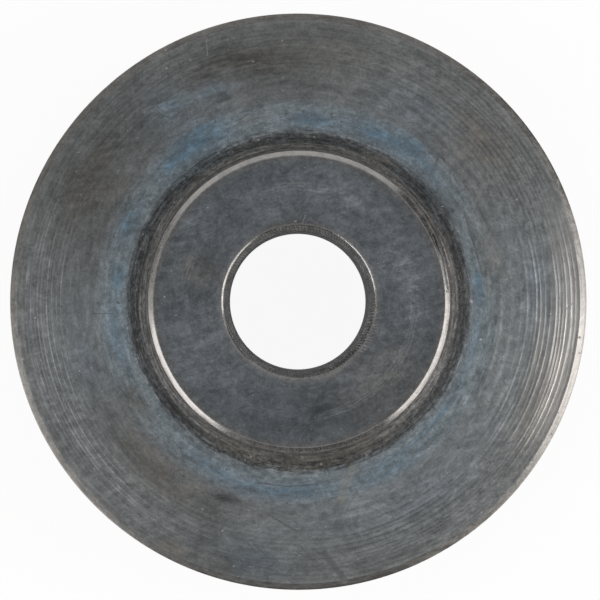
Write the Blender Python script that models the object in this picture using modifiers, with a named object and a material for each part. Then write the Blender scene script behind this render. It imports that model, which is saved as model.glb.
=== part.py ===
"""Cutting wheel of a pipe cutter.

One piece of hardened, blackened steel, turned all over: a disc that tapers to a cutting edge, with a hub on
each side that spaces it in the cutter's frame, and a plain bore for the wheel pin, countersunk at both mouths.
Metres, +Z up along the bore, origin at the middle of the wheel. Both sides of the plane z = 0 are alike.
"""

import math

import bpy

# Driving dimensions, in metres and radians
CUTTING_DIAMETER = 0.0400
EDGE_LAND = 0.00010  # width of the blunt land that honing leaves on the cutting edge
BEVEL_WIDTH = 0.00045  # radial width of the honed bevel behind the edge
BEVEL_ANGLE = math.radians(32.0)  # from the wheel's plane, on each side
FLANK_ANGLE = math.radians(15.0)  # from the wheel's plane, on each side
HUB_DIAMETER = 0.0205
HUB_LENGTH = 0.0190  # over both hub faces
HUB_CHAMFER = 0.00034
ROOT_FILLET_RADIUS = 0.0020  # between hub and flank
BORE_DIAMETER = 0.0096
COUNTERSINK_WIDTH = 0.00035  # radial width of the lathe centre's cone at each mouth of the bore
COUNTERSINK_ANGLE = math.radians(30.0)  # from the bore's axis
MOUTH_BREAK = 0.00010  # small chamfer where the countersink meets the hub face

# Fineness of the turned surface
TURN_STEPS = 128
FILLET_STEPS = 10
MERGE_DISTANCE = 0.000001
SHARP_ANGLE = math.radians(20.0)

# Blackened steel
STEEL_COLOUR = (0.100, 0.108, 0.114, 1.0)
STEEL_METALLIC = 0.9
STEEL_ROUGHNESS = 0.42


def arc(centre, radius, start, end, steps):
    """Points of an arc in the (r, z) half-plane, both ends included."""
    turns = [start + (end - start) * step / steps for step in range(steps + 1)]
    return [(centre[0] + radius * math.cos(turn), centre[1] + radius * math.sin(turn)) for turn in turns]


def root_fillet(hub_radius, flank_start):
    """The hollow fillet that is tangent to the hub's wall and to the flank through flank_start."""
    radius = ROOT_FILLET_RADIUS
    centre_r = hub_radius + radius
    rise = (radius + math.sin(FLANK_ANGLE) * (flank_start[0] - centre_r)) / math.cos(FLANK_ANGLE)
    centre = (centre_r, flank_start[1] + rise)
    return arc(centre, radius, math.pi, 1.5 * math.pi - FLANK_ANGLE, FILLET_STEPS)


def upper_profile():
    """The upper half of the section as (r, z) points, from the bore over the hub and down to the edge."""
    bore_radius = BORE_DIAMETER / 2
    mouth_radius = bore_radius + COUNTERSINK_WIDTH
    hub_radius = HUB_DIAMETER / 2
    edge_radius = CUTTING_DIAMETER / 2
    face = HUB_LENGTH / 2
    mouth = face - MOUTH_BREAK
    edge = (edge_radius, EDGE_LAND / 2)
    flank_start = (edge_radius - BEVEL_WIDTH, edge[1] + BEVEL_WIDTH * math.tan(BEVEL_ANGLE))
    return [
        (bore_radius, mouth - COUNTERSINK_WIDTH / math.tan(COUNTERSINK_ANGLE)),
        (mouth_radius, mouth),
        (mouth_radius + MOUTH_BREAK, face),
        (hub_radius - HUB_CHAMFER, face),
        (hub_radius, face - HUB_CHAMFER),
        *root_fillet(hub_radius, flank_start),
        flank_start,
        edge,
    ]


def profile_mesh(name):
    """The closed section of the wheel as a loop of edges at +X, running down its outer side."""
    upper = upper_profile()
    lower = [(r, -z) for r, z in reversed(upper)]
    points = [(r, 0.0, z) for r, z in upper + lower]
    edges = [(i, (i + 1) % len(points)) for i in range(len(points))]
    mesh = bpy.data.meshes.new(name)
    mesh.from_pydata(points, edges, [])
    return mesh


def steel():
    """Principled steel with the dark blue-grey of an oiled oxide skin."""
    material = bpy.data.materials.new("blackened_steel")
    material.use_nodes = True
    shader = material.node_tree.nodes["Principled BSDF"]
    shader.inputs["Base Color"].default_value = STEEL_COLOUR
    shader.inputs["Metallic"].default_value = STEEL_METALLIC
    shader.inputs["Roughness"].default_value = STEEL_ROUGHNESS
    return material


def turned(name, collection, material):
    """Revolves the section about the bore and returns the finished object."""
    blank = bpy.data.objects.new(name + "_section", profile_mesh(name + "_section"))
    collection.objects.link(blank)
    screw = blank.modifiers.new("Turn", "SCREW")
    screw.axis = "Z"
    screw.angle = math.tau
    screw.steps = TURN_STEPS
    screw.render_steps = TURN_STEPS
    screw.use_merge_vertices = True
    screw.merge_threshold = MERGE_DISTANCE
    evaluated = blank.evaluated_get(bpy.context.evaluated_depsgraph_get())
    mesh = bpy.data.meshes.new_from_object(evaluated)
    bpy.data.objects.remove(blank)
    mesh.name = name
    mesh.shade_smooth()
    mesh.set_sharp_from_angle(angle=SHARP_ANGLE)
    mesh.materials.append(material)
    wheel = bpy.data.objects.new(name, mesh)
    collection.objects.link(wheel)
    return wheel


for old in list(bpy.data.objects):
    bpy.data.objects.remove(old)

cutting_wheel = bpy.data.collections.new("cutting_wheel")
bpy.context.scene.collection.children.link(cutting_wheel)
turned("cutter_wheel", cutting_wheel, steel())
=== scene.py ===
"""A pipe cutter's wheel in blackened steel, lying on its hub on a white table and seen from straight above.

The scene is in metres, +Z up along the bore. Lengths of the wheel's section and finish are in millimetres.
"""

import math

import bpy
import numpy as np
from mathutils import Matrix, Vector


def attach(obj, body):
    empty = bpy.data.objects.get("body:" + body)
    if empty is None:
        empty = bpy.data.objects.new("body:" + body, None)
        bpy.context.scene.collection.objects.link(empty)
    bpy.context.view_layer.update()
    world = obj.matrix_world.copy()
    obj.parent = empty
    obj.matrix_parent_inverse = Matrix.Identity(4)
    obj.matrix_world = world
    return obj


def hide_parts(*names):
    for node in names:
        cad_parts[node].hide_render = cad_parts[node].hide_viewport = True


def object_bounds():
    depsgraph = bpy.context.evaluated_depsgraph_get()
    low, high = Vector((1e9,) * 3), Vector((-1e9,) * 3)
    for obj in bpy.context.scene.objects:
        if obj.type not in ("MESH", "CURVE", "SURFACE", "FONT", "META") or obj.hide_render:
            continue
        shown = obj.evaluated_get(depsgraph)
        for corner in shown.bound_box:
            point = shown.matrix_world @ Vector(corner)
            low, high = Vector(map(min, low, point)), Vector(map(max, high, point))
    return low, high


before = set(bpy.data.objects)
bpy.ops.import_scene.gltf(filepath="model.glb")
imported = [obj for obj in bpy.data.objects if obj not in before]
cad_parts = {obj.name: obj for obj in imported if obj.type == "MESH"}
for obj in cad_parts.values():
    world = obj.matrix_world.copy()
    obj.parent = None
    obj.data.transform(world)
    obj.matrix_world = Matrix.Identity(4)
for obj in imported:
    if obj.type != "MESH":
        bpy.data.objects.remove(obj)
cad_low, cad_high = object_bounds()


# The cutting wheel: one piece of tool steel, turned all over from bar, hardened, tempered and blackened. It
# spins on the cutter's pin, its two hubs fill the gap in the cutter's frame, and its bevelled rim presses into
# the pipe.
MM = 0.001
BORE_RADIUS = 4.8
COUNTERSINK_WIDTH = 0.35
COUNTERSINK_ANGLE = math.radians(30.0)
MOUTH_BREAK = 0.10
HUB_RADIUS = 10.25
HUB_CHAMFER = 0.34
ROOT_FILLET = 2.0
FLANK_ANGLE = math.radians(15.0)
BEVEL_WIDTH = 0.45
BEVEL_ANGLE = math.radians(32.0)
EDGE_LAND = 0.10
EDGE_RADIUS = cad_high.x / MM
HUB_FACE = cad_high.z / MM

mouth_radius = BORE_RADIUS + COUNTERSINK_WIDTH
cone_foot = HUB_FACE - MOUTH_BREAK - COUNTERSINK_WIDTH / math.tan(COUNTERSINK_ANGLE)
bevel_radius = EDGE_RADIUS - BEVEL_WIDTH
bevel_height = EDGE_LAND / 2 + BEVEL_WIDTH * math.tan(BEVEL_ANGLE)
root_height = bevel_height + (bevel_radius - HUB_RADIUS) * math.tan(FLANK_ANGLE)

# Corners of the section's upper half: radius, height, rounding, and the widest ring on the stretch after it
CORNERS = (
    (BORE_RADIUS, 0.0, 0.0, 1.3),
    (BORE_RADIUS, cone_foot, 0.05, 0.25),
    (mouth_radius, HUB_FACE - MOUTH_BREAK, 0.02, 0.1),
    (mouth_radius + MOUTH_BREAK, HUB_FACE, 0.03, 0.5),
    (HUB_RADIUS - HUB_CHAMFER, HUB_FACE, 0.05, 0.2),
    (HUB_RADIUS, HUB_FACE - HUB_CHAMFER, 0.05, 0.6),
    (HUB_RADIUS, root_height, ROOT_FILLET, 0.5),
    (bevel_radius, bevel_height, 0.12, 0.2),
    (EDGE_RADIUS, EDGE_LAND / 2, 0.02, 0.1),
    (EDGE_RADIUS, 0.0, 0.0, 0.1),
)
ROUNDING_STEP = math.radians(9.0)
FILLET_STEP = math.radians(4.0)
HOLD = 0.03  # a ring this close to each rounding keeps the faces beside it flat


def rounded_corner(before, corner, after, radius):
    """Points of the arc that rounds a corner, with a holding point on each side."""
    back, on = (before - corner).normalized(), (after - corner).normalized()
    half = back.angle(on) / 2
    tangent = radius / math.tan(half)
    centre = corner + (back + on).normalized() * radius / math.sin(half)
    spoke_in = (corner + back * tangent - centre).normalized()
    spoke_out = (corner + on * tangent - centre).normalized()
    step = FILLET_STEP if radius == ROOT_FILLET else ROUNDING_STEP
    count = math.ceil((math.pi - 2 * half) / step)
    arc = [centre + radius * spoke_in.slerp(spoke_out, i / count) for i in range(count + 1)]
    return [corner + back * (tangent + HOLD), *arc, corner + on * (tangent + HOLD)]


outline, widest = [Vector(CORNERS[0][:2])], []
for before, corner, after in zip(CORNERS, CORNERS[1:], CORNERS[2:]):
    points = rounded_corner(Vector(before[:2]), Vector(corner[:2]), Vector(after[:2]), corner[2])
    widest += [before[3]] + [math.inf] * (len(points) - 1)
    outline += points
outline.append(Vector(CORNERS[-1][:2]))
widest.append(CORNERS[-2][3])
reaches = np.cumsum([0.0] + [(b - a).length for a, b in zip(outline, outline[1:])])


def reach_at(radius, height):
    """Distance along the section, from the bore's middle, to the outline point nearest to a place on it."""
    nearest = min(range(len(outline)), key=lambda i: (outline[i] - Vector((radius, height))).length)
    return float(reaches[nearest])


FACE_START = reach_at(mouth_radius + MOUTH_BREAK, HUB_FACE)
CHAMFER_START = reach_at(HUB_RADIUS - HUB_CHAMFER, HUB_FACE)
CHAMFER_END = reach_at(HUB_RADIUS, HUB_FACE - HUB_CHAMFER)
WALL_END = reach_at(HUB_RADIUS, root_height + ROOT_FILLET / math.tan((math.pi / 2 + FLANK_ANGLE) / 2))
BEVEL_START = reach_at(bevel_radius, bevel_height)
RIM = float(reaches[-1])
fillet_end_radius = HUB_RADIUS + ROOT_FILLET * (1 - math.sin(FLANK_ANGLE))


def blade_reach(radius):
    """Distance along the section to a radius in the root fillet or on the flank."""
    if radius < fillet_end_radius:
        return WALL_END + ROOT_FILLET * math.acos((HUB_RADIUS + ROOT_FILLET - radius) / ROOT_FILLET)
    return BEVEL_START - (bevel_radius - radius) / math.cos(FLANK_ANGLE)


# Scallops that the tool's feed has cut: the radius where each starts, and its depth. Each drops steeply at
# first, flattens, and rises again to where the next one starts. The deep ones stand on the outer flank.
SCALLOPS = (
    (10.42, 0.014),
    (10.72, 0.014),
    (10.95, 0.014),
    (11.20, 0.014),
    (11.46, 0.014),
    (11.90, 0.003),
    (12.35, 0.004),
    (12.79, 0.004),
    (13.30, 0.003),
    (13.99, 0.015),
    (14.69, 0.017),
    (15.35, 0.015),
    (15.81, 0.022),
    (16.14, 0.017),
    (16.46, 0.032),
    (16.75, 0.024),
    (17.10, 0.028),
    (17.44, 0.035),
    (17.84, 0.027),
    (18.10, 0.022),
    (18.32, 0.021),
    (18.57, 0.027),
    (18.90, 0.026),
    (19.21, 0.021),
)
SCALLOP_DROP = 0.07  # width of the steep start
DROP_DEPTH = 0.6  # share of the depth that the steep start reaches
LOWEST = 0.6  # place of the lowest line, as a share of the scallop's width

scallop_starts = [blade_reach(radius) for radius, depth in SCALLOPS] + [BEVEL_START - HOLD]
mark_knots = [(0.0, 0.0)]
for (radius, depth), start, end in zip(SCALLOPS, scallop_starts, scallop_starts[1:]):
    mark_knots += [
        (start, 0.0), (start + SCALLOP_DROP, DROP_DEPTH * depth), (start + LOWEST * (end - start), depth)
    ]
mark_knots += [(BEVEL_START - HOLD, 0.0), (RIM, 0.0)]

# A thin line follows the edge where each scallop starts: drawn darker in places, and lighter elsewhere, partly
# rubbed steel and partly a painted glint
LINE_WIDTH = 0.05
deepest = max(depth for radius, depth in SCALLOPS)
line_knots = [
    (start + shift, share * depth / deepest)
    for (radius, depth), start in zip(SCALLOPS, scallop_starts)
    for shift, share in ((-LINE_WIDTH, 0.0), (0.0, 1.0), (SCALLOP_DROP, 0.0))
]

LEAST_GAP = 0.004  # a station nearer than this to the next one is left out
stations = set(float(reach) for reach in reaches)
for start, end, gap in zip(reaches, reaches[1:], widest):
    pieces = math.ceil((end - start) / gap) if gap < math.inf else 1
    stations.update(float(start + (end - start) * i / pieces) for i in range(1, pieces))
stations.update(place for place, value in mark_knots + line_knots)
stations = sorted(stations)
stations = np.array([a for a, b in zip(stations, stations[1:] + [math.inf]) if b - a > LEAST_GAP])

# The bore and the hub's wall are plain, so they get a smaller share of the unwrapped picture
BORE_SHARE = 0.5
WALL_SHARE = 0.6
layout_bore = BORE_SHARE * cone_foot
layout_wall = layout_bore + CHAMFER_END - cone_foot
layout_root = layout_wall + WALL_SHARE * (WALL_END - CHAMFER_END)
layout_rim = layout_root + RIM - WALL_END
layout = np.interp(
    stations,
    (0.0, cone_foot, CHAMFER_END, WALL_END, RIM),
    (0.0, layout_bore, layout_wall, layout_root, layout_rim),
)
layout = layout / (2 * layout_rim)

# Edges that handling has rubbed, and how much
RUBBED = ((FACE_START, 0.6), (CHAMFER_START, 0.35), (CHAMFER_END, 0.8), (RIM, 0.7))
RUB_WIDTH = 0.035

half_r = np.interp(stations, reaches, [point.x for point in outline])
half_z = np.interp(stations, reaches, [point.y for point in outline])
half_mark = np.interp(stations, *zip(*mark_knots))
half_line = np.interp(stations, *zip(*line_knots))
half_rub = np.max([amount * np.exp(-(((stations - at) / RUB_WIDTH) ** 2)) for at, amount in RUBBED], axis=0)


def whole(upper, lower):
    """Values all round the closed section: the upper half outwards, then the lower half back to the bore."""
    return np.concatenate([upper, lower[-2::-1]])


section_mesh = bpy.data.meshes.new("wheel_section")
section_r, section_z = whole(half_r, half_r) * MM, whole(half_z, -half_z) * MM
ring_count = len(section_r)
section_mesh.from_pydata(
    [(r, 0.0, z) for r, z in zip(section_r, section_z)], [(i, i + 1) for i in range(ring_count - 1)], []
)
section_values = {
    "layout": whole(layout, 1.0 - layout),
    "reach": whole(stations, stations),
    "mark": whole(half_mark, half_mark),
    "edge_line": whole(half_line, half_line),
    "rub": whole(half_rub, half_rub),
}
for name, values in section_values.items():
    section_mesh.attributes.new(name, "FLOAT", "POINT").data.foreach_set("value", values.astype(np.float32))
section = bpy.data.objects.new("wheel_section", section_mesh)
bpy.context.scene.collection.objects.link(section)


def feed(tree, value, socket):
    """Gives a socket a plain value, or links it to another node's socket or first output."""
    if isinstance(value, bpy.types.Node):
        value = next(output for output in value.outputs if output.enabled)
    if isinstance(value, bpy.types.NodeSocket):
        tree.links.new(value, socket)
    elif value is not None:
        socket.default_value = value


def node(tree, kind, *values, **settings):
    """Adds a node with its settings, and feeds the inputs that those leave in use, in their order."""
    made = tree.nodes.new(kind)
    for name, setting in settings.items():
        setattr(made, name, setting)
    for value, socket in zip(values, [socket for socket in made.inputs if socket.enabled]):
        feed(tree, value, socket)
    return made


def math_node(tree, operation, *values):
    return node(tree, "ShaderNodeMath", *values, operation=operation)


def vector_node(tree, operation, *values):
    return node(tree, "ShaderNodeVectorMath", *values, operation=operation)


LACUNARITY = 2.0  # how much finer each layer of a pattern is than the one before
SIDE_SHIFT = 40.0  # moves the pattern of one side away from that of the other


def noise(tree, place, scale, detail, roughness, swirl=0.0):
    """A noise pattern. Where the node itself is fed on, its first output gives the pattern's value."""
    settings = (scale, detail, roughness, LACUNARITY, swirl)
    return node(tree, "ShaderNodeTexNoise", place, *settings, noise_dimensions="3D")


def lathe_vector(tree, place, along, spread, pitch):
    """Pattern coordinates that run out into rings: slow round the wheel and fast along its section. The wheel's
    two sides get different patterns."""
    outwards = vector_node(tree, "NORMALIZE", vector_node(tree, "MULTIPLY", place, (1.0, 1.0, 0.0)))
    height = node(tree, "ShaderNodeSeparateXYZ", place).outputs["Z"]
    side = math_node(tree, "MULTIPLY", math_node(tree, "SIGN", height), SIDE_SHIFT)
    level = math_node(tree, "MULTIPLY_ADD", along, pitch, side)
    spread_out = vector_node(tree, "SCALE", outwards, spread)
    return vector_node(tree, "ADD", spread_out, node(tree, "ShaderNodeCombineXYZ", 0.0, 0.0, level))


# The turning: a grid whose rows follow the section and whose columns go round the bore, closed at both seams.
# The tool marks and rubbed edges are cut into it, always inwards, and uneven round the wheel.
MERGE_DISTANCE = 0.000001
MARK_SPREAD = 1.6  # the tool marks' unevenness round the wheel, and along the section
MARK_PITCH = 2.3
SHALLOW_SIDE = 0.25  # depth of the scallops opposite the side where they are deepest
DEEPENING_FROM = -0.2  # cosines of the turn away from the deep side
DEEPENING_TO = 0.95
NICK_SCALE = 2.4

turning = bpy.data.node_groups.new("turned_wheel", "GeometryNodeTree")
turning_inputs = {
    name: turning.interface.new_socket(name=name, in_out="INPUT", socket_type=kind)
    for name, kind in (
        ("Section", "NodeSocketObject"),
        ("Turn Steps", "NodeSocketInt"),
        ("Mark Unevenness", "NodeSocketFloat"),
        ("Deep Side", "NodeSocketVector"),
        ("Rub Depth", "NodeSocketFloat"),
        ("Pattern Shift", "NodeSocketFloat"),
        ("Steel", "NodeSocketMaterial"),
    )
}
turning.interface.new_socket(name="Wheel", in_out="OUTPUT", socket_type="NodeSocketGeometry")
given = turning.nodes.new("NodeGroupInput").outputs

profile = node(turning, "GeometryNodeObjectInfo", given["Section"]).outputs["Geometry"]
rings = node(turning, "GeometryNodeAttributeDomainSize", profile, component="MESH").outputs["Point Count"]
columns = math_node(turning, "ADD", given["Turn Steps"], 1.0)
grid = node(turning, "GeometryNodeMeshGrid", 1.0, 1.0, rings, columns)
grid_place = node(turning, "ShaderNodeSeparateXYZ", node(turning, "GeometryNodeInputPosition"))
down = math_node(turning, "ADD", grid_place.outputs["X"], 0.5)
round_share = math_node(turning, "ADD", grid_place.outputs["Y"], 0.5)
last_ring = math_node(turning, "SUBTRACT", rings, 1.0)
ring = math_node(turning, "ROUND", math_node(turning, "MULTIPLY", down, last_ring))


def stored(geometry, name, value, **settings):
    return node(turning, "GeometryNodeStoreNamedAttribute", geometry, None, name, value, **settings)


def along_section(name):
    """A value of the section at this row."""
    value = node(turning, "GeometryNodeInputNamedAttribute", name, data_type="FLOAT")
    return node(turning, "GeometryNodeSampleIndex", profile, value, ring, data_type="FLOAT", domain="POINT")


unwrapped = node(turning, "ShaderNodeCombineXYZ", round_share, along_section("layout"), 0.0)
sheet = stored(grid.outputs["Mesh"], "OFBake", unwrapped, data_type="FLOAT2", domain="CORNER")
for name in ("reach", "mark", "edge_line", "rub"):
    sheet = stored(sheet, name, along_section(name), data_type="FLOAT", domain="POINT")
section_place = node(
    turning,
    "GeometryNodeSampleIndex",
    profile,
    node(turning, "GeometryNodeInputPosition"),
    ring,
    data_type="FLOAT_VECTOR",
    domain="POINT",
)
turned_place = node(
    turning,
    "ShaderNodeVectorRotate",
    section_place,
    (0.0, 0.0, 0.0),
    math_node(turning, "MULTIPLY", round_share, math.tau),
    rotation_type="Z_AXIS",
)
wrapped = node(turning, "GeometryNodeSetPosition", sheet, None, turned_place)
closed = node(turning, "GeometryNodeMergeByDistance", wrapped, None, MERGE_DISTANCE)

surface_mm = vector_node(turning, "SCALE", node(turning, "GeometryNodeInputPosition"), 1.0 / MM)
reach_here = node(turning, "GeometryNodeInputNamedAttribute", "reach", data_type="FLOAT")
mark_here = node(turning, "GeometryNodeInputNamedAttribute", "mark", data_type="FLOAT")
rub_here = node(turning, "GeometryNodeInputNamedAttribute", "rub", data_type="FLOAT")
arcs = lathe_vector(turning, surface_mm, reach_here, MARK_SPREAD, MARK_PITCH)
pattern_shift = node(turning, "ShaderNodeCombineXYZ", given["Pattern Shift"], 0.0, 0.0)
arcs = vector_node(turning, "ADD", arcs, pattern_shift)
arc_noise = noise(turning, arcs, scale=1.0, detail=2.0, roughness=0.5)
thin_here = node(turning, "ShaderNodeMapRange", arc_noise, 0.35, 0.65, 1.0, 0.0)
thinning = math_node(turning, "MULTIPLY", given["Mark Unevenness"], thin_here)
deepening = node(
    turning,
    "ShaderNodeMapRange",
    vector_node(turning, "DOT_PRODUCT", vector_node(turning, "NORMALIZE", surface_mm), given["Deep Side"]),
    DEEPENING_FROM,
    DEEPENING_TO,
    SHALLOW_SIDE,
    1.0,
    interpolation_type="SMOOTHSTEP",
)
uneven = math_node(turning, "MULTIPLY", deepening, math_node(turning, "SUBTRACT", 1.0, thinning))
mark_cut = math_node(turning, "MULTIPLY", mark_here, uneven)
nick_noise = noise(turning, surface_mm, scale=NICK_SCALE, detail=2.0, roughness=0.6)
nick = node(turning, "ShaderNodeMapRange", nick_noise, 0.45, 0.75, 0.0, given["Rub Depth"])
cut = math_node(turning, "MULTIPLY_ADD", rub_here, nick, mark_cut)
inwards = vector_node(
    turning, "SCALE", node(turning, "GeometryNodeInputNormal"), math_node(turning, "MULTIPLY", cut, -MM)
)
cut_wheel = node(turning, "GeometryNodeSetPosition", closed, None, None, inwards)
smooth = node(turning, "GeometryNodeSetShadeSmooth", cut_wheel)
realized = node(turning, "GeometryNodeRealizeInstances", smooth)
finished = node(turning, "GeometryNodeSetMaterial", realized, None, given["Steel"])
node(turning, "NodeGroupOutput", finished)

TURN_STEPS = 240
MARK_UNEVENNESS = 0.45
DEEP_SIDE = (math.cos(math.radians(-20.0)), math.sin(math.radians(-20.0)), 0.0)
RUB_DEPTH = 0.03
PATTERN_SHIFT = 3.7
SHARP_ANGLE = math.radians(17.0)
FAR_SIDE = -0.01  # height under which a patch is on the far side
FAR_SIDE_TURN = 130.0

# The finish: the oxide's colour changes with the heat and dirt that each part of the section has seen, and bare
# steel shows where the wheel is rubbed. Colours are linear.
BARE_STEEL = (0.38, 0.365, 0.35, 1.0)
BROWN_OXIDE = (0.128, 0.117, 0.104, 1.0)
BLUE_OXIDE = (0.100, 0.150, 0.192, 1.0)
RUST = (0.125, 0.095, 0.066, 1.0)
# Dirt, and painted shade in the root
GRIME_AND_SHADE = (0.040, 0.042, 0.043, 1.0)
DRIED_OIL = (0.110, 0.104, 0.086, 1.0)
OIL_STAIN = (0.200, 0.182, 0.150, 1.0)


def face_reach(radius):
    """Distance along the section to a radius on the hub's face."""
    return FACE_START + radius - mouth_radius - MOUTH_BREAK


# Along the section: place, oxide colour
OXIDE = (
    (0.0, (0.120, 0.121, 0.121)),
    (cone_foot - 0.02, (0.120, 0.121, 0.121)),
    (cone_foot + 0.06, (0.103, 0.105, 0.107)),
    (FACE_START - 0.16, (0.103, 0.104, 0.105)),
    (FACE_START - 0.12, (0.150, 0.145, 0.138)),
    (face_reach(5.32), (0.098, 0.106, 0.114)),
    (face_reach(7.3), (0.100, 0.109, 0.119)),
    (face_reach(7.7), (0.106, 0.116, 0.127)),
    (face_reach(8.1), (0.095, 0.105, 0.114)),
    (face_reach(9.3), (0.094, 0.104, 0.113)),
    (face_reach(9.8), (0.094, 0.096, 0.098)),
    (CHAMFER_END + 0.10, (0.095, 0.093, 0.091)),
    (WALL_END - 1.0, (0.095, 0.096, 0.097)),
    (blade_reach(10.48), (0.140, 0.138, 0.135)),
    (blade_reach(10.58), (0.090, 0.089, 0.088)),
    (blade_reach(10.70), (0.150, 0.148, 0.145)),
    (blade_reach(10.80), (0.086, 0.086, 0.085)),
    (blade_reach(10.92), (0.145, 0.144, 0.142)),
    # Darker in the root: partly dirt, partly painted shade in the hollow
    (blade_reach(11.02), (0.072, 0.075, 0.076)),
    (blade_reach(11.50), (0.076, 0.081, 0.084)),
    (blade_reach(11.72), (0.096, 0.104, 0.110)),
    (blade_reach(11.90), (0.144, 0.165, 0.179)),
    (blade_reach(12.35), (0.156, 0.182, 0.198)),
    (blade_reach(13.60), (0.157, 0.180, 0.194)),
    (blade_reach(14.10), (0.150, 0.160, 0.166)),
    (blade_reach(16.20), (0.147, 0.157, 0.163)),
    (blade_reach(16.80), (0.139, 0.147, 0.151)),
    (BEVEL_START - 0.05, (0.140, 0.146, 0.147)),
    (BEVEL_START + 0.05, (0.168, 0.168, 0.164)),
    (RIM, (0.168, 0.162, 0.152)),
)
# Along the section: place, then bare steel, roughness, fine lines and mottling, the last two as shares of the
# values below
TEXTURE = (
    (0.0, (0.0, 0.58, 0.35, 1.0)),
    (cone_foot, (0.0, 0.58, 0.35, 1.0)),
    (cone_foot + 0.05, (0.0, 0.55, 0.4, 1.0)),
    (FACE_START - 0.17, (0.0, 0.55, 0.4, 1.0)),
    (FACE_START - 0.13, (0.95, 0.11, 0.0, 0.2)),
    (FACE_START - 0.02, (0.95, 0.11, 0.0, 0.2)),
    (FACE_START + 0.02, (0.0, 0.40, 0.2, 0.7)),
    (CHAMFER_START - 0.03, (0.0, 0.40, 0.2, 0.7)),
    (CHAMFER_START + 0.02, (0.90, 0.24, 0.1, 0.2)),
    (CHAMFER_END - 0.02, (0.90, 0.24, 0.1, 0.2)),
    (CHAMFER_END + 0.04, (0.05, 0.42, 0.5, 0.4)),
    (WALL_END, (0.05, 0.42, 0.5, 0.4)),
    (blade_reach(10.60), (0.05, 0.46, 1.0, 0.7)),
    (blade_reach(10.90), (0.05, 0.50, 1.0, 0.8)),
    (blade_reach(11.05), (0.0, 0.56, 1.0, 1.0)),
    (blade_reach(11.65), (0.0, 0.50, 1.0, 1.0)),
    (blade_reach(12.05), (0.0, 0.34, 0.9, 0.9)),
    (blade_reach(13.60), (0.0, 0.32, 0.9, 0.8)),
    (blade_reach(14.20), (0.0, 0.32, 0.5, 0.6)),
    (BEVEL_START - 0.50, (0.0, 0.30, 0.6, 0.6)),
    (BEVEL_START + 0.05, (0.08, 0.38, 0.5, 0.7)),
    (RIM - 0.12, (0.12, 0.38, 0.4, 0.7)),
    (RIM, (0.40, 0.34, 0.3, 0.6)),
)
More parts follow.
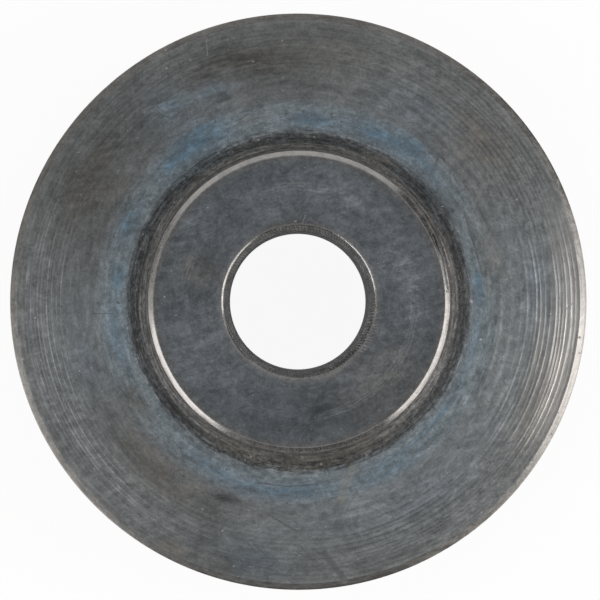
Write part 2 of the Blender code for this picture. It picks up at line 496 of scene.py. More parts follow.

# Patches in the finish: bearing in degrees and radius, length round the wheel, width across, and how much.
# Negative shade patches are lighter. The shade patches are partly smudges in the oxide and partly painted light
# and shade: a painted sheen on the hub's face, painted reflections on the bevel and the countersink's rim, and
# painted light and shade in the bore, the countersink, the root and on the flanks where the lamps fall.
PATCHES = {
    "shade": (
        # On the flanks: smudges in the oxide, mixed with painted light and shade near the lamps
        (109.0, 17.4, 3.4, 1.4, 0.26), (96.0, 16.2, 2.8, 1.6, 0.22), (90.0, 14.8, 1.6, 0.7, 0.20),
        (150.0, 16.7, 4.2, 2.2, 0.20), (139.0, 16.8, 1.2, 1.2, 0.16), (110.0, 15.1, 0.45, 0.3, 0.28),
        (165.0, 15.0, 3.0, 0.8, 0.12), (135.0, 14.5, 2.0, 0.5, 0.12), (132.0, 15.8, 0.8, 0.6, 0.20),
        (-112.0, 16.4, 1.0, 2.2, 0.26), (-110.5, 14.5, 1.1, 0.35, 0.30), (-104.0, 18.6, 3.0, 1.2, 0.20),
        (-86.0, 18.6, 1.6, 1.3, 0.14), (-145.0, 15.6, 4.5, 0.8, 0.16), (-150.0, 13.1, 0.8, 0.5, 0.30),
        (-22.0, 13.5, 0.5, 0.4, 0.28), (-27.0, 13.5, 0.3, 0.4, 0.12), (-9.0, 13.7, 3.5, 0.35, 0.16),
        (32.0, 17.8, 5.0, 2.0, -0.09), (-46.0, 18.0, 4.5, 1.6, -0.10), (85.0, 19.0, 3.0, 0.8, 0.12),
        (123.0, 16.2, 1.8, 1.6, -0.14), (112.0, 15.7, 1.6, 0.6, -0.12), (-150.0, 17.8, 7.0, 1.6, -0.08),
        (-102.0, 15.7, 1.4, 0.8, -0.14), (-128.0, 17.6, 2.0, 1.2, -0.06), (35.0, 12.2, 1.4, 0.5, 0.25),
        (-8.0, 12.9, 6.0, 1.2, 0.10), (-65.0, 17.0, 4.0, 2.0, -0.03),
        # On the hub's face: mostly a painted sheen, lighter and darker round the wheel as the lamps would make
        # the turned face shine
        (-80.0, 7.4, 1.8, 1.3, 0.34), (-60.0, 8.6, 2.0, 0.9, 0.16), (-100.0, 8.8, 2.4, 0.8, 0.16),
        (128.0, 7.4, 1.6, 1.3, 0.22), (157.0, 7.0, 1.4, 1.2, 0.24), (178.0, 6.8, 0.8, 1.0, 0.20),
        (-18.0, 9.2, 3.2, 0.7, 0.20), (-112.0, 7.0, 1.6, 1.4, 0.14), (104.0, 8.5, 1.0, 1.0, 0.14),
        (30.0, 9.2, 2.0, 0.6, 0.14), (88.0, 6.2, 1.0, 0.6, 0.16), (-130.0, 9.0, 1.0, 0.7, 0.12),
        (148.0, 8.8, 2.0, 0.8, -0.26), (68.0, 7.6, 1.4, 1.6, -0.20), (18.0, 7.6, 2.6, 1.6, -0.20),
        (-9.0, 7.4, 1.0, 0.9, -0.16), (-155.0, 6.6, 2.0, 1.2, -0.20), (-150.0, 8.8, 2.4, 0.8, -0.16),
        (110.0, 6.8, 1.2, 0.8, -0.14), (-40.0, 7.0, 1.4, 0.8, -0.10), (-92.0, 9.5, 1.2, 0.5, -0.12),
        # The countersink, its rim and the bore: painted light and shade, and a painted reflection on the rim
        (165.0, 5.05, 4.5, 0.16, 0.34), (95.0, 5.28, 3.0, 0.06, 0.45), (-5.0, 5.05, 2.4, 0.16, -0.15),
        (-66.0, 5.05, 2.6, 0.16, -0.26), (25.0, 5.05, 1.6, 0.16, -0.15), (140.0, 4.80, 2.4, 0.10, 0.35),
        # Painted light and shade on the blue ring, the root, the bore, the flanks and the bevel, and more of
        # the face's painted sheen
        (128.0, 12.8, 8.0, 0.9, -0.11), (95.0, 11.4, 5.0, 0.5, -0.14), (-28.0, 11.4, 4.0, 0.5, 0.12),
        (-140.0, 19.8, 3.4, 0.22, 0.18),
        (-20.0, 4.80, 4.2, 0.10, -0.8), (50.0, 4.80, 2.4, 0.10, -0.4), (-80.0, 4.80, 2.4, 0.10, -0.5),
        (-8.0, 11.35, 5.0, 0.45, 0.30), (30.0, 11.4, 4.0, 0.45, 0.52), (-98.0, 11.4, 3.6, 0.5, -0.42),
        (2.0, 10.6, 4.0, 0.4, 0.15), (174.0, 15.5, 4.0, 2.4, 0.08), (-160.0, 14.5, 3.0, 0.8, 0.05),
        (0.0, 8.0, 2.6, 1.8, -0.12), (-60.0, 19.8, 3.4, 0.22, -0.50), (18.0, 19.8, 3.0, 0.22, -0.45),
        (-88.0, 19.8, 8.0, 0.22, -0.24), (42.0, 19.8, 6.0, 0.20, -0.18), (-22.0, 19.7, 1.6, 0.3, 0.10),
    ),
    "brown": (
        (104.0, 16.8, 4.5, 2.0, 0.6), (150.0, 16.2, 4.5, 2.2, 0.75), (-128.0, 15.3, 5.5, 1.4, 0.8),
        (40.0, 16.5, 3.0, 2.4, 0.6), (-22.0, 18.4, 4.0, 1.4, 0.7), (80.0, 17.0, 4.0, 2.4, 0.45),
        (-150.0, 13.2, 1.6, 0.7, 0.7), (-107.0, 19.0, 1.0, 0.5, 0.5),
        (15.0, 13.4, 3.0, 0.8, 0.5), (-45.0, 8.0, 3.0, 1.8, 0.5), (164.0, 7.2, 1.0, 1.4, 0.5),
        (-60.0, 19.8, 8.0, 0.15, 0.9),
    ),
    "stain": (
        (44.0, 17.1, 1.2, 0.4, 0.45), (56.0, 17.9, 0.7, 0.5, 0.40), (104.0, 13.0, 1.2, 0.5, 0.35),
        (-118.0, 19.1, 0.7, 0.5, 0.60), (-74.0, 12.3, 1.0, 0.3, 0.30), (-134.0, 14.7, 2.0, 0.5, 0.25),
        (60.0, 11.5, 0.8, 0.25, 0.35), (-62.0, 11.0, 1.4, 0.3, 0.40), (-85.0, 10.8, 1.6, 0.2, 0.5),
    ),
    "blue": (
        (121.0, 13.1, 1.9, 0.9, 1.2), (131.0, 13.0, 1.6, 0.6, 0.6), (86.0, 12.6, 1.6, 0.5, 0.8),
        (64.0, 12.8, 1.8, 0.6, 1.1), (54.0, 13.3, 1.2, 0.6, 0.7), (45.0, 12.8, 1.6, 0.5, 0.4),
        (155.0, 12.9, 1.2, 0.5, 0.8), (172.0, 12.5, 0.9, 0.4, 1.0), (-170.0, 12.8, 2.4, 0.5, 0.6),
        (-88.0, 13.1, 2.2, 0.5, 0.6), (-104.0, 13.3, 3.4, 0.5, 0.45), (-120.0, 12.9, 1.8, 0.4, 0.35),
        (-62.0, 13.2, 2.4, 0.6, 0.5), (-40.0, 12.55, 4.0, 0.14, 0.9), (-8.0, 12.5, 3.0, 0.25, 0.4),
        (5.0, 12.5, 1.0, 0.3, 0.9), (38.0, 11.4, 2.2, 0.4, 0.35), (130.0, 11.5, 1.8, 0.4, 0.35),
        (112.0, 15.6, 1.6, 0.8, 0.38), (124.0, 16.0, 1.4, 1.6, 0.38),
        (-100.0, 18.2, 2.0, 1.2, 0.30), (-165.0, 15.2, 2.4, 0.8, 0.20), (5.0, 16.5, 3.0, 1.4, 0.18),
        (60.0, 15.6, 2.4, 1.0, 0.20), (-55.0, 16.0, 4.0, 1.4, 0.12),
    ),
    # Dirt in the root, partly painted shade in the hollow, darkest on the right where the lamps would light the
    # fillet
    "grime": (
        (36.0, 11.5, 2.4, 0.45, 1.0), (18.0, 11.4, 2.2, 0.40, 1.0), (2.0, 11.35, 2.0, 0.35, 1.0),
        (-14.0, 11.35, 1.8, 0.35, 1.0), (-28.0, 11.4, 2.0, 0.35, 0.9), (-42.0, 11.4, 1.8, 0.30, 0.7),
        (50.0, 11.4, 1.6, 0.35, 0.9), (75.0, 11.2, 3.0, 0.3, 0.5), (100.0, 11.3, 3.0, 0.4, 0.6),
        (125.0, 11.4, 2.8, 0.4, 0.6), (138.0, 11.6, 1.4, 0.4, 0.6), (165.0, 11.4, 3.0, 0.35, 0.6),
        (-165.0, 11.35, 3.0, 0.35, 0.6), (-140.0, 11.35, 2.5, 0.35, 0.6), (33.0, 12.1, 0.8, 0.25, 0.5),
    ),
    "film": (
        (-92.0, 11.0, 3.6, 0.7, 1.0), (-70.0, 11.0, 2.4, 0.6, 0.7), (-115.0, 11.0, 2.4, 0.6, 0.8),
        (80.0, 10.7, 3.0, 0.25, 0.5), (130.0, 10.8, 3.0, 0.25, 0.4), (-117.0, 19.2, 0.9, 0.5, 0.7),
    ),
    # Worn oxide; on the right of the outer flank partly a painted highlight where the right lamp's glint falls
    "worn": (
        (-24.0, 18.9, 2.2, 1.0, 0.6), (-14.0, 18.9, 3.2, 1.2, 0.8), (0.0, 18.8, 3.4, 1.0, 0.7),
        (12.0, 18.9, 2.6, 0.9, 0.45), (-12.0, 16.9, 3.4, 0.25, 0.5), (-70.0, 5.29, 2.4, 0.05, 0.5),
    ),
    # Turning lines drawn darker, on the right and below
    "dirty_lines": (
        (-8.0, 17.6, 9.0, 2.4, 1.0), (-80.0, 17.2, 7.0, 2.2, 0.2),
    ),
    # Turning lines drawn lighter: partly rubbed crests, partly painted glints where the lamps would make the
    # lines shine
    "rubbed_lines": (
        (-156.0, 17.7, 8.0, 1.6, 1.8), (172.0, 17.6, 4.0, 1.3, 1.3), (-116.0, 17.2, 5.0, 1.4, 0.4),
        (-20.0, 8.2, 4.0, 1.2, 0.6), (180.0, 7.4, 3.0, 0.9, 0.5),
    ),
    "rust": (
        (-88.0, 11.3, 2.4, 0.4, 0.9), (6.0, 11.1, 1.4, 0.35, 0.9), (30.0, 11.6, 1.6, 0.4, 0.4),
        (70.0, 19.85, 7.0, 0.14, 0.8), (110.0, 19.85, 7.0, 0.14, 0.8), (150.0, 19.85, 7.0, 0.14, 0.8),
        (10.0, 5.55, 2.4, 0.16, 0.4),
    ),
    "face_ring": (
        (-30.0, 8.0, 4.6, 0.8, 1.0), (-68.0, 7.8, 2.0, 0.6, 0.5), (92.0, 7.8, 3.4, 0.8, 0.8),
        (160.0, 7.6, 3.0, 0.8, 0.6),
    ),
    "chatter": (
        (-25.0, 5.05, 1.6, 0.30, 1.0), (-55.0, 5.05, 2.0, 0.24, 1.0), (-35.0, 5.42, 1.4, 0.16, 0.4),
        (-8.0, 5.10, 0.8, 0.30, 0.6), (60.0, 5.05, 2.6, 0.20, 0.75), (105.0, 5.05, 2.0, 0.20, 0.7),
        (-110.0, 5.05, 2.6, 0.20, 0.4),
    ),
}

# Nicks, as x, y and size seen from above: bright where the oxide has chipped, and dark where a pit holds dirt
BRIGHT_NICKS = (
    (-19.89, -0.93, 0.08), (-12.43, -3.03, 0.08), (-15.15, -4.80, 0.07), (-11.22, -3.92, 0.08),
    (-19.14, -3.98, 0.08), (-11.80, -1.83, 0.07), (4.71, -10.57, 0.08), (0.25, -10.72, 0.12),
    (-3.31, -10.66, 0.09), (-1.63, -10.35, 0.08), (1.56, -11.21, 0.08), (-3.43, -14.42, 0.07),
    (-6.64, -14.35, 0.09), (-4.45, -18.30, 0.08), (0.07, -17.56, 0.07), (-9.20, 17.47, 0.10),
    (-9.14, 16.14, 0.08), (-7.48, 16.74, 0.08), (-15.37, 9.02, 0.06), (-12.45, 9.04, 0.06),
    (-1.11, 15.49, 0.07), (-2.76, 11.14, 0.10), (1.06, 11.36, 0.07), (4.02, 12.68, 0.07),
    (-8.60, 6.85, 0.07), (-6.17, 6.38, 0.07), (-0.24, 5.45, 0.08), (18.10, 1.72, 0.07),
    (12.62, -2.62, 0.09), (11.93, 0.03, 0.12),
)
DARK_NICKS = (
    (-19.79, 0.15, 0.11), (18.22, 1.60, 0.10), (18.06, 0.26, 0.09), (19.14, 1.56, 0.09),
    (18.95, -3.59, 0.10), (19.49, -2.47, 0.09), (0.32, 13.14, 0.13), (-8.95, 17.30, 0.07),
    (-7.60, 16.60, 0.07),
)
# Scratches: start x, y, end x, y, half width
BRIGHT_SCRATCHES = (
    (0.43, 5.84, 0.23, 5.30, 0.02), (-6.37, 18.25, -6.30, 17.05, 0.03),
)
DARK_SCRATCHES = (
    (18.22, -0.47, 18.20, -1.03, 0.05), (18.51, -0.54, 18.93, -0.13, 0.05),
    (-14.23, -0.82, -12.77, -0.82, 0.02), (1.75, -17.40, 3.20, -19.30, 0.24),
    (-1.83, -14.89, -0.28, -15.80, 0.07), (-2.83, -12.48, -0.76, -12.76, 0.04),
    (-0.76, -12.76, 1.31, -12.62, 0.04), (-5.55, 13.80, -4.80, 14.15, 0.14),
    (12.70, 1.80, 11.40, 6.25, 0.04),
)
# A bruise has flattened the outer part of the hub's chamfer, and painted shade darkens it there
BRUISES = (
    (10.11, 0.85, 9.72, 2.97, 0.09), (9.72, 2.97, 9.06, 4.60, 0.08), (10.22, 0.62, 10.02, 0.72, 0.05),
)
# Pale stains where oil has run and dried
OIL_RUNS = (
    (2.91, -13.69, 3.71, -11.41, 0.30), (6.29, 9.69, 5.45, 9.75, 0.12), (5.45, 9.75, 4.54, 10.19, 0.14),
    (-8.60, -17.30, -7.90, -17.20, 0.22),
)

steel = bpy.data.materials.new("blackened_steel")
steel.use_nodes = True
paint = steel.node_tree
shader = paint.nodes["Principled BSDF"]


def elsewhere(vector, shift):
    """The same pattern coordinates, moved to another part of the pattern."""
    return vector_node(paint, "ADD", vector, shift)


def span(value, from_low, from_high, to_low, to_high):
    """Rescales a value, held within its new range."""
    return node(paint, "ShaderNodeMapRange", value, from_low, from_high, to_low, to_high)


def times(*values):
    product = values[0]
    for value in values[1:]:
        product = math_node(paint, "MULTIPLY", product, value)
    return product


def largest(*values):
    top = values[0]
    for value in values[1:]:
        top = math_node(paint, "MAXIMUM", top, value)
    return top


def waves(value):
    """A pattern as a value from -1 to 1."""
    return span(value, 0.3, 0.7, -1.0, 1.0)


def factor(amount, *values):
    """A factor of 1 where a product of patterns is 0, that the amount makes larger or smaller elsewhere."""
    return math_node(paint, "MULTIPLY_ADD", times(*values), amount, 1.0)


def swing(value, amount):
    """A factor about 1 that follows a pattern: up by the amount where it is high, and down where it is low."""
    return factor(amount, waves(value))


def blend(share, first, second):
    return node(paint, "ShaderNodeMix", share, first, second, data_type="RGBA").outputs[2]


def section_ramp(place, stops):
    """A colour ramp over the distance along the section; stops are (distance, colour)."""
    made = node(paint, "ShaderNodeValToRGB", math_node(paint, "DIVIDE", place, RIM))
    ramp = made.color_ramp
    while len(ramp.elements) < len(stops):
        ramp.elements.new(1.0)
    for element, (distance, colour) in zip(ramp.elements, stops):
        element.position = distance / RIM
        element.color = (*colour[:3], colour[3] if len(colour) > 3 else 1.0)
    return made


def painted(name):
    return node(paint, "ShaderNodeAttribute", attribute_name=name).outputs["Fac"]


skin = vector_node(paint, "SCALE", node(paint, "ShaderNodeTexCoord").outputs["Object"], 1.0 / MM)
reach, rub = painted("reach"), painted("rub")


def turned(spread, pitch):
    """Coordinates for a pattern of the finish that runs out into rings."""
    return lathe_vector(paint, skin, reach, spread, pitch)


on_blade = span(reach, CHAMFER_END, CHAMFER_END + 0.01, 0.0, 1.0)

# Patterns. On the hub's face the mottling is even, and on the blade it is drawn out along the turning.
FACE_MOTTLING_SCALE = 1.1
mottle_place = node(
    paint,
    "ShaderNodeMix",
    on_blade,
    vector_node(paint, "SCALE", skin, FACE_MOTTLING_SCALE),
    turned(spread=11.0, pitch=1.5),
    data_type="VECTOR",
).outputs[1]
mottle = noise(paint, mottle_place, scale=1.0, detail=5.0, roughness=0.95)
clouds = noise(paint, skin, scale=0.20, detail=2.0, roughness=0.7)
scuffs = noise(paint, skin, scale=0.8, detail=5.0, roughness=0.8, swirl=2.2)
grain = noise(paint, skin, scale=6.0, detail=2.0, roughness=0.7)
streaks = noise(paint, turned(spread=4.0, pitch=2.2), scale=1.0, detail=3.0, roughness=0.7)
dashes = noise(paint, turned(spread=16.0, pitch=5.0), scale=1.0, detail=2.0, roughness=0.7)
lines = noise(paint, turned(spread=2.5, pitch=4.6), scale=1.0, detail=2.0, roughness=0.9)
speckle = noise(paint, turned(spread=40.0, pitch=5.0), scale=1.0, detail=3.0, roughness=0.8)
WIPE_TURN = math.radians(12.0)
WIPE_SIZE = (2.4, 0.55, 0.55)
wiped = node(paint, "ShaderNodeMapping", skin, None, (0.0, 0.0, WIPE_TURN), WIPE_SIZE, vector_type="TEXTURE")
wipes = noise(paint, wiped, scale=1.0, detail=4.0, roughness=0.75)

# The oxide's rings waver, and the borders between the textures are grainy
DASH_WAVER = 0.06
STREAK_WAVER = 0.08
GRAIN_WAVER = 0.012
wavering = math_node(paint, "MULTIPLY_ADD", waves(dashes), DASH_WAVER, reach)
wavering = math_node(paint, "MULTIPLY_ADD", waves(streaks), STREAK_WAVER, wavering)
oxide = section_ramp(wavering, OXIDE)
texture = section_ramp(math_node(paint, "MULTIPLY_ADD", waves(grain), GRAIN_WAVER, reach), TEXTURE)
texture_parts = node(paint, "ShaderNodeSeparateColor", texture)
bare_share, base_roughness, lined_here = (texture_parts.outputs[name] for name in ("Red", "Green", "Blue"))
in_root = span(reach, blade_reach(11.7), blade_reach(12.0), 1.0, 0.0)
in_hollow = times(in_root, span(reach, WALL_END, blade_reach(10.60), 0.0, 1.0))
# The turning lines show more strongly in the colour where they are drawn darker and lighter, and in the root
line_places = largest(painted("dirty_lines"), painted("rubbed_lines"), in_root)
line_share = times(lined_here, span(line_places, 0.0, 1.0, 0.3, 1.0))
grain_share = texture.outputs["Alpha"]

# Light and dark in the oxide: broad clouds, wiped smudges, mottling down to the finest grain, and turning
# lines;
# and the shade patches, partly smudges and partly painted light and shade
MOTTLING = 0.55
SMUDGE_SHADE = 0.13
LINE_SHADE = 0.30
STREAK_SHADE = 0.22
EDGE_LINE_SHADE = 0.45
CLOUD_SHADE = 0.08
GRAIN_SHADE = 0.09
DASH_SHADE = 0.06

# The thin line is darkened in places and lightened elsewhere, partly as a painted glint
edge_line_tone = math_node(paint, "SUBTRACT", painted("rubbed_lines"), painted("dirty_lines"))
shade = times(
    swing(clouds, CLOUD_SHADE),
    factor(SMUDGE_SHADE, span(scuffs, 0.42, 0.58, -1.0, 1.0)),
    factor(SMUDGE_SHADE, span(wipes, 0.42, 0.62, -0.6, 0.8)),
    swing(grain, GRAIN_SHADE),
    swing(dashes, DASH_SHADE),
    factor(MOTTLING, waves(mottle), grain_share),
    factor(STREAK_SHADE, waves(streaks), lined_here),
    factor(LINE_SHADE, waves(lines), line_share),
    factor(EDGE_LINE_SHADE, painted("edge_line"), edge_line_tone, swing(streaks, 0.7)),
    # The shade patches: partly smudges, partly painted light and shade with the painted sheen on the hub's face
    factor(-1.0, painted("shade"), span(wipes, 0.42, 0.58, 0.4, 1.7)),
)
# Heat has left the root's edge blue in places, and elsewhere the oxide has turned brown
BROWN_SHARE = 0.8
BLUE_SHARE = 0.9
brown_share = times(painted("brown"), swing(wipes, 0.6), swing(mottle, 0.5), BROWN_SHARE)
blue_share = times(painted("blue"), swing(streaks, 0.5), swing(mottle, 0.9), BLUE_SHARE)
toned = blend(blue_share, blend(brown_share, oxide.outputs["Color"], BROWN_OXIDE), BLUE_OXIDE)
shaded = vector_node(paint, "SCALE", toned, shade)

# Dried oil, dirt and rust have gathered in the root, with painted shade in the hollow, and there are rare
# specks elsewhere
rust_grain = noise(paint, skin, scale=4.0, detail=2.0, roughness=0.6)
dark_specks = noise(paint, elsewhere(skin, (5.0, 9.0, 2.0)), scale=3.2, detail=1.0, roughness=0.5)
bright_specks = noise(paint, elsewhere(skin, (15.0, 4.0, 8.0)), scale=4.0, detail=1.0, roughness=0.5)
oil_share = times(painted("film"), span(speckle, 0.36, 0.60, 0.25, 0.9), span(lines, 0.35, 0.65, 0.5, 1.0))
grime_and_shade_share = times(painted("grime"), span(speckle, 0.36, 0.58, 0.3, 0.9), span(lines, 0.65, 0.35, 0.5, 1.0))
root_specks = times(in_hollow, span(speckle, 0.54, 0.66, 0.0, 0.7))
root_dots = times(in_hollow, span(speckle, 0.40, 0.30, 0.0, 0.8))
rust_specks = times(painted("rust"), span(rust_grain, 0.56, 0.64, 0.0, 0.8))
rare_dark = span(dark_specks, 0.73, 0.78, 0.0, 0.7)
rare_bright = span(bright_specks, 0.76, 0.80, 0.0, 0.6)

# A scratch: how near a place lies to the line between two points
SCRATCH_CORE, SCRATCH_END = 0.4, 1.3  # where a scratch begins to fade and ends, as shares of its half width
scratch = bpy.data.node_groups.new("scratch", "ShaderNodeTree")
for name, kind in (("Place", "Vector"), ("Start", "Vector"), ("End", "Vector"), ("Half Width", "Float")):
    scratch.interface.new_socket(name=name, in_out="INPUT", socket_type="NodeSocket" + kind)
scratch.interface.new_socket(name="Share", in_out="OUTPUT", socket_type="NodeSocketFloat")
ends = scratch.nodes.new("NodeGroupInput").outputs
line = vector_node(scratch, "SUBTRACT", ends["End"], ends["Start"])
from_start = vector_node(scratch, "SUBTRACT", ends["Place"], ends["Start"])
along_line = node(
    scratch,
    "ShaderNodeMath",
    vector_node(scratch, "DOT_PRODUCT", from_start, line),
    vector_node(scratch, "DOT_PRODUCT", line, line),
    operation="DIVIDE",
    use_clamp=True,
)
away = vector_node(scratch, "DISTANCE", from_start, vector_node(scratch, "SCALE", line, along_line))
widths_away = math_node(scratch, "DIVIDE", away, ends["Half Width"])
depth_share = node(scratch, "ShaderNodeMapRange", widths_away, SCRATCH_CORE, SCRATCH_END, 1.0, 0.0)
node(scratch, "NodeGroupOutput", depth_share)

# Nicks and scratches are ragged, and lie on the side that is uppermost
RAGGED = 0.15
RAG_SCALE = 9.0
NICK_CORE, NICK_END = 0.5, 1.2  # where a nick begins to fade and ends, as shares of its size
ragged = noise(paint, skin, scale=RAG_SCALE, detail=1.0, roughness=0.5).outputs["Color"]
ragged_shift = vector_node(paint, "SCALE", vector_node(paint, "SUBTRACT", ragged, (0.5, 0.5, 0.5)), RAGGED)
from_above = vector_node(paint, "MULTIPLY", vector_node(paint, "ADD", skin, ragged_shift), (1.0, 1.0, 0.0))
skin_parts = node(paint, "ShaderNodeSeparateXYZ", skin).outputs
upper_side = span(skin_parts["Z"], 0.0, 0.01, 0.0, 1.0)


def nick_share(x, y, size):
    distance = vector_node(paint, "DISTANCE", from_above, (x, y, 0.0))
    return span(distance, NICK_CORE * size, NICK_END * size, 1.0, 0.0)


def scratch_share(x, y, to_x, to_y, half_width):
    between = (from_above, (x, y, 0.0), (to_x, to_y, 0.0), half_width)
    return node(paint, "ShaderNodeGroup", *between, node_tree=scratch)


def marked(nicks, scratches):
    """Share of the oxide that nicks and scratches take on the upper side."""
    shares = [nick_share(*nick) for nick in nicks] + [scratch_share(*cut) for cut in scratches]
    return times(upper_side, largest(*shares))


bright_marks = marked(BRIGHT_NICKS, BRIGHT_SCRATCHES)
dark_marks = marked(DARK_NICKS, DARK_SCRATCHES)
bruises = marked((), BRUISES)

# Short ticks that the lathe centre has left round the countersink, and in places over its rim
TICK_COUNT = 150
TICK_SLANT = 0.05  # turn in radians over each millimetre
TICK_UNEVENNESS = 0.025  # in radians
LEAST_CHATTER = 0.40
above_bore = span(reach, cone_foot, cone_foot + 0.05, 0.0, 1.0)
in_countersink = times(above_bore, span(reach, FACE_START - 0.18, FACE_START - 0.15, 1.0, 0.0))
chattered = times(above_bore, largest(painted("chatter"), times(in_countersink, LEAST_CHATTER)))
turn_here = math_node(paint, "ARCTAN2", skin_parts["Y"], skin_parts["X"])
slanted_turn = math_node(paint, "MULTIPLY_ADD", reach, -TICK_SLANT, turn_here)
uneven_turn = math_node(paint, "MULTIPLY_ADD", waves(scuffs), TICK_UNEVENNESS, slanted_turn)
tick_wave = math_node(paint, "SINE", times(uneven_turn, TICK_COUNT))
ticks = times(span(tick_wave, -0.6, 0.6, 0.0, 1.0), span(mottle, 0.40, 0.58, 0.2, 1.0))

# Thin rings that the cutter's frame has rubbed on the hub's face
FACE_RINGS = (7.62, 7.84, 8.06)
ring_offsets = [math_node(paint, "SUBTRACT", wavering, face_reach(radius)) for radius in FACE_RINGS]
ring_shares = [span(math_node(paint, "ABSOLUTE", offset), 0.02, 0.07, 1.0, 0.0) for offset in ring_offsets]
face_rings = times(painted("face_ring"), largest(*ring_shares))

# Over the oxide lie oil, dirt with the crust's light and dark in it, painted shade in the root, rust and
# stains, and bare steel shows where all of them are rubbed off; on the right of the outer flank some of it is a
# painted highlight
TICK_GRIME = 0.9
DARK_MARK_SHARE = 0.7
BRIGHT_MARK_SHARE = 0.5
BARE_TICK_SHARE = 0.45
CRUST_SHADE = 0.42
CRUST_SPECKLE = 1.6 * CRUST_SHADE
OIL_RUN_SHARE = 0.65
BRUISE_SHADE = 0.85
gaps_between_ticks = times(chattered, math_node(paint, "SUBTRACT", 1.0, ticks), TICK_GRIME)
grime_and_shade_cover = largest(root_specks, grime_and_shade_share, rare_dark, gaps_between_ticks, times(dark_marks, DARK_MARK_SHARE))
oiled = blend(largest(oil_share, root_dots), shaded, DRIED_OIL)
soiled_and_shaded = blend(grime_and_shade_cover, oiled, GRIME_AND_SHADE)
bare_and_glinting = largest(
    times(bare_share, span(mottle, 0.38, 0.56, 0.66, 1.0), span(dashes, 0.35, 0.55, 0.82, 1.0)),
    times(rub, span(grain, 0.35, 0.6, 0.2, 1.0)),
    times(bright_marks, BRIGHT_MARK_SHARE),
    times(face_rings, span(mottle, 0.38, 0.58, 0.04, 0.22)),
    rare_bright,
    # Worn oxide, partly a painted highlight on the right of the outer flank
    times(painted("worn"), span(lines, 0.35, 0.65, 0.25, 0.75)),
    times(chattered, ticks, BARE_TICK_SHARE),
)
crust = times(
    factor(CRUST_SPECKLE, span(speckle, 0.34, 0.66, -1.0, 0.9), in_hollow),
    factor(CRUST_SHADE, span(lines, 0.3, 0.7, -1.0, 0.8), in_hollow),
    factor(CRUST_SHADE, span(dashes, 0.3, 0.7, -1.0, 0.8), in_hollow),
)
rusted = blend(rust_specks, vector_node(paint, "SCALE", soiled_and_shaded, crust), RUST)
oil_runs = times(upper_side, largest(*[scratch_share(*run) for run in OIL_RUNS]))
stains = largest(times(oil_runs, OIL_RUN_SHARE), painted("stain"))
stain_share = times(stains, span(mottle, 0.40, 0.60, 0.1, 0.9))
stained = blend(stain_share, rusted, OIL_STAIN)
# The bruise's painted shade: less bare steel where it lies
bruise_shade = factor(-BRUISE_SHADE, bruises)
feed(paint, blend(times(bare_and_glinting, bruise_shade), stained, BARE_STEEL), shader.inputs["Base Color"])

# Rust, dirt, and the dry oxide in the bore and its countersink shine less like metal
BORE_DULLNESS = 0.7
HOLLOW_DULLNESS = 0.6
LOST_METALLIC = 0.85
ADDED_ROUGHNESS = 0.25
in_bore = span(reach, cone_foot, cone_foot + 0.02, 1.0, 0.0)
dull = largest(
    rust_specks,
    oil_share,
    grime_and_shade_share,
    rare_dark,
    dark_marks,
    stain_share,
    in_countersink,
    times(in_bore, BORE_DULLNESS),
    times(in_hollow, HOLLOW_DULLNESS),
)
feed(paint, factor(-LOST_METALLIC, dull), shader.inputs["Metallic"])
roughness = math_node(paint, "ADD", base_roughness, span(mottle, 0.36, 0.64, -0.04, 0.06))
feed(paint, math_node(paint, "MULTIPLY_ADD", dull, ADDED_ROUGHNESS, roughness), shader.inputs["Roughness"])

# Heights in micrometres
MICROMETRE = 0.000001
LINE_HEIGHT = 16.0
DASH_HEIGHT = 3.0
GRAIN_HEIGHT = 8.0
TICK_HEIGHT = 10.0
NICK_DEPTH = 8.0
heights = (
    times(lines, line_share, LINE_HEIGHT),
    times(dashes, line_share, DASH_HEIGHT),
    times(grain, grain_share, GRAIN_HEIGHT),
    times(chattered, ticks, TICK_HEIGHT),
    times(largest(bright_marks, dark_marks, bruises), -NICK_DEPTH),
)
height = heights[0]
for more in heights[1:]:
    height = math_node(paint, "ADD", height, more)
feed(paint, node(paint, "ShaderNodeBump", 1.0, MICROMETRE, None, height), shader.inputs["Normal"])

blank = bpy.data.objects.new("blank", bpy.data.meshes.new("blank"))
bpy.context.scene.collection.objects.link(blank)
turner = blank.modifiers.new("Turning", "NODES")
turner.node_group = turning
for name, value in (
    ("Section", section),
    ("Turn Steps", TURN_STEPS),
    ("Mark Unevenness", MARK_UNEVENNESS),
    ("Deep Side", DEEP_SIDE),
    ("Rub Depth", RUB_DEPTH),
    ("Pattern Shift", PATTERN_SHIFT),
    ("Steel", steel),
):
    turner[turning_inputs[name].identifier] = value
wheel_mesh = bpy.data.meshes.new_from_object(blank.evaluated_get(bpy.context.evaluated_depsgraph_get()))
wheel_mesh.name = "cutting_wheel"
wheel_mesh.set_sharp_from_angle(angle=SHARP_ANGLE)

place = np.empty(3 * len(wheel_mesh.vertices))
wheel_mesh.vertices.foreach_get("co", place)
x, y, z = place.reshape(-1, 3).T / MM
radius_here, bearing_here = np.hypot(x, y), np.degrees(np.arctan2(y, x))


def patch(bearing, radius, length, width):
    """How much of a soft patch, long round the wheel, covers each vertex. The far side has them elsewhere."""
    turn = np.where(z > FAR_SIDE, bearing_here - bearing, bearing_here + bearing + FAR_SIDE_TURN)
    round_way = np.radians((turn + 180.0) % 360.0 - 180.0) * radius
    return np.exp(-((round_way / length) ** 2) - ((radius_here - radius) / width) ** 2)


for name, rows in PATCHES.items():
    cover = sum(amount * patch(*shape) for *shape, amount in rows)
    wheel_mesh.attributes.new(name, "FLOAT", "POINT").data.foreach_set("value", cover.astype(np.float32))

wheel = bpy.data.objects.new("cutting_wheel", wheel_mesh)
bpy.context.scene.collection.objects.link(wheel)
bpy.data.objects.remove(blank)
bpy.data.objects.remove(section)
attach(wheel, "root")
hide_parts("cutter_wheel")


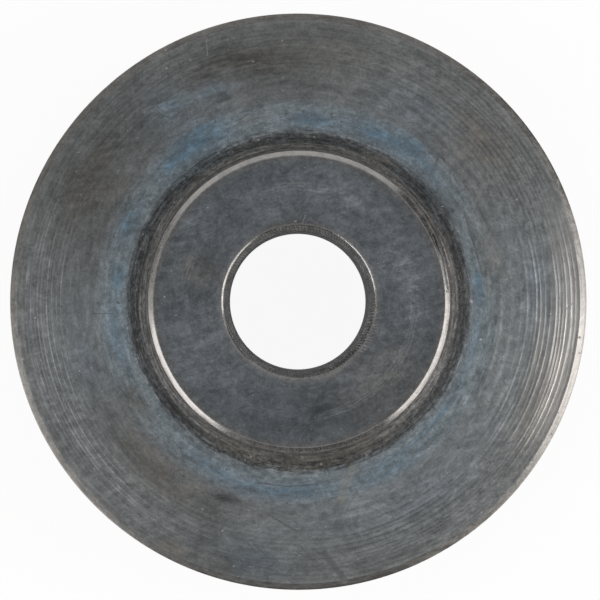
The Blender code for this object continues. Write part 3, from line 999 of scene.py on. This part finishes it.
# The table: a white sheet that the wheel lies on, curving up into a low wall all round, so that the view ends
# in white from every side. It shows white and still keeps some of the wheel's shadow.
TABLE_PROFILE = ((0.0, 0.0), (1.0, 0.0), (1.7, 0.0), (1.86, 0.02), (1.96, 0.07), (2.0, 0.16), (2.0, 0.30))
TABLE_SEGMENTS = 96
TABLE_WHITE = 0.93  # share of the sheet's look that is plain white
MATTE_WHITE = (0.9, 0.9, 0.9, 1.0)
PLAIN_WHITE = (1.0, 1.0, 1.0, 1.0)

table_points, table_faces = [(0.0, 0.0, cad_low.z)], []
for radius, rise in TABLE_PROFILE[1:]:
    for step in range(TABLE_SEGMENTS):
        turn = math.tau * step / TABLE_SEGMENTS
        table_points.append((radius * math.cos(turn), radius * math.sin(turn), cad_low.z + rise))
for step in range(TABLE_SEGMENTS):
    after = (step + 1) % TABLE_SEGMENTS
    table_faces.append((0, 1 + step, 1 + after))
    for row in range(len(TABLE_PROFILE) - 2):
        inner, outer = 1 + row * TABLE_SEGMENTS, 1 + (row + 1) * TABLE_SEGMENTS
        table_faces.append((inner + step, outer + step, outer + after, inner + after))
table_mesh = bpy.data.meshes.new("table")
table_mesh.from_pydata(table_points, [], table_faces)
table_mesh.shade_smooth()
table = bpy.data.objects.new("table", table_mesh)
bpy.context.scene.collection.objects.link(table)

sheet_material = bpy.data.materials.new("white_sheet")
sheet_material.use_nodes = True
sheet_tree = sheet_material.node_tree
sheet_tree.nodes.clear()
rays = node(sheet_tree, "ShaderNodeLightPath").outputs
seen = math_node(sheet_tree, "MAXIMUM", rays["Is Camera Ray"], rays["Is Glossy Ray"])
seen = math_node(sheet_tree, "MAXIMUM", seen, rays["Is Transmission Ray"])
shown = math_node(sheet_tree, "MULTIPLY", seen, TABLE_WHITE)
matte = node(sheet_tree, "ShaderNodeBsdfDiffuse", MATTE_WHITE)
glow = node(sheet_tree, "ShaderNodeEmission", PLAIN_WHITE, 1.0)
node(sheet_tree, "ShaderNodeOutputMaterial", node(sheet_tree, "ShaderNodeMixShader", shown, matte, glow))
table_mesh.materials.append(sheet_material)


# The light: a large soft box overhead, on each side a smaller one high up and one low down, and a grey room.
# Each lamp's power gives the brightness that is named for it, where 1 is white.
SOFT_BOXES = (
    # name, bearing and elevation in degrees, distance, size across, size up, brightness, colour
    ("overhead", -45.0, 84.0, 0.76, 1.15, 1.15, 0.38, (1.0, 1.0, 1.0)),
    ("right_high", -11.0, 26.5, 0.45, 0.27, 0.14, 7.0, (1.0, 0.96, 0.93)),
    ("right_low", -21.5, 5.0, 0.36, 0.39, 0.14, 2.2, (1.0, 0.96, 0.94)),
    ("left_low", 212.0, 5.0, 0.36, 0.31, 0.12, 2.7, (1.0, 0.97, 0.96)),
    ("left_high", 192.0, 34.0, 0.45, 0.28, 0.14, 1.3, (1.0, 0.98, 0.97)),
)
ROOM_GREY = 0.60

for name, bearing, elevation, distance, across, up, brightness, colour in SOFT_BOXES:
    lamp = bpy.data.lights.new(name, "AREA")
    lamp.shape = "RECTANGLE"
    lamp.size, lamp.size_y = across, up
    lamp.energy = math.pi * across * up * brightness
    lamp.color = colour
    box = bpy.data.objects.new(name, lamp)
    bpy.context.scene.collection.objects.link(box)
    turn = Matrix.Rotation(math.radians(bearing), 3, "Z") @ Matrix.Rotation(-math.radians(elevation), 3, "Y")
    place = turn @ Vector((distance, 0.0, 0.0))
    box.matrix_world = Matrix.Translation(place) @ place.to_track_quat("Z", "Y").to_matrix().to_4x4()

room = bpy.data.worlds.new("room")
room.use_nodes = True
room.node_tree.nodes["Background"].inputs["Color"].default_value = (ROOM_GREY, ROOM_GREY, ROOM_GREY, 1.0)
bpy.context.scene.world = room


# Grey boards stand on the table round the wheel, unseen by the camera, so that its polished chamfer has
# something dark to reflect there.
GREY_BOARDS = (
    # bearing from the wheel in degrees, distance, width, height, grey
    (-86.0, 0.075, 0.105, 0.029, 0.07),
    (33.0, 0.075, 0.042, 0.029, 0.09),
    (160.0, 0.075, 0.040, 0.020, 0.30),
)
BOARD_ROUGHNESS = 0.9
for number, (bearing, distance, width, height, grey) in enumerate(GREY_BOARDS):
    board_material = bpy.data.materials.new(f"grey_board_{number}")
    board_material.use_nodes = True
    board_shader = board_material.node_tree.nodes["Principled BSDF"]
    board_shader.inputs["Base Color"].default_value = (grey, grey, grey, 1.0)
    board_shader.inputs["Roughness"].default_value = BOARD_ROUGHNESS
    facing = Matrix.Rotation(math.radians(bearing), 4, "Z")
    outline_corners = ((-1, 0.0), (1, 0.0), (1, height), (-1, height))
    corners = [(distance, side * width / 2, cad_low.z + rise) for side, rise in outline_corners]
    board_mesh = bpy.data.meshes.new(f"grey_board_{number}")
    board_mesh.from_pydata([facing @ Vector(corner) for corner in corners], [], [(0, 1, 2, 3)])
    board_mesh.materials.append(board_material)
    board = bpy.data.objects.new(f"grey_board_{number}", board_mesh)
    board.visible_camera = False
    bpy.context.scene.collection.objects.link(board)


# The camera looks straight down from 0.4 m, a little off the bore's axis, as the bore's far and near rims show.
CAMERA_PLACE = Vector((-0.00210, 0.00000, 0.400))
CAMERA_TARGET = Vector((0.000112, 0.000116, 0.0))
VIEW_WIDTH = 0.041637  # across the picture at the blade
SENSOR = 36.0

camera_data = bpy.data.cameras.new("camera")
camera_data.sensor_width = SENSOR
camera_data.lens = SENSOR * (CAMERA_PLACE - CAMERA_TARGET).length / VIEW_WIDTH
camera = bpy.data.objects.new("camera", camera_data)
ahead = (CAMERA_TARGET - CAMERA_PLACE).normalized()
right = ahead.cross(Vector((0.0, 1.0, 0.0))).normalized()
above = right.cross(ahead)
camera.matrix_world = Matrix.Translation(CAMERA_PLACE) @ Matrix((right, above, -ahead)).transposed().to_4x4()
bpy.context.scene.collection.objects.link(camera)
bpy.context.scene.camera = camera
bpy.context.scene.view_settings.view_transform = "Standard"
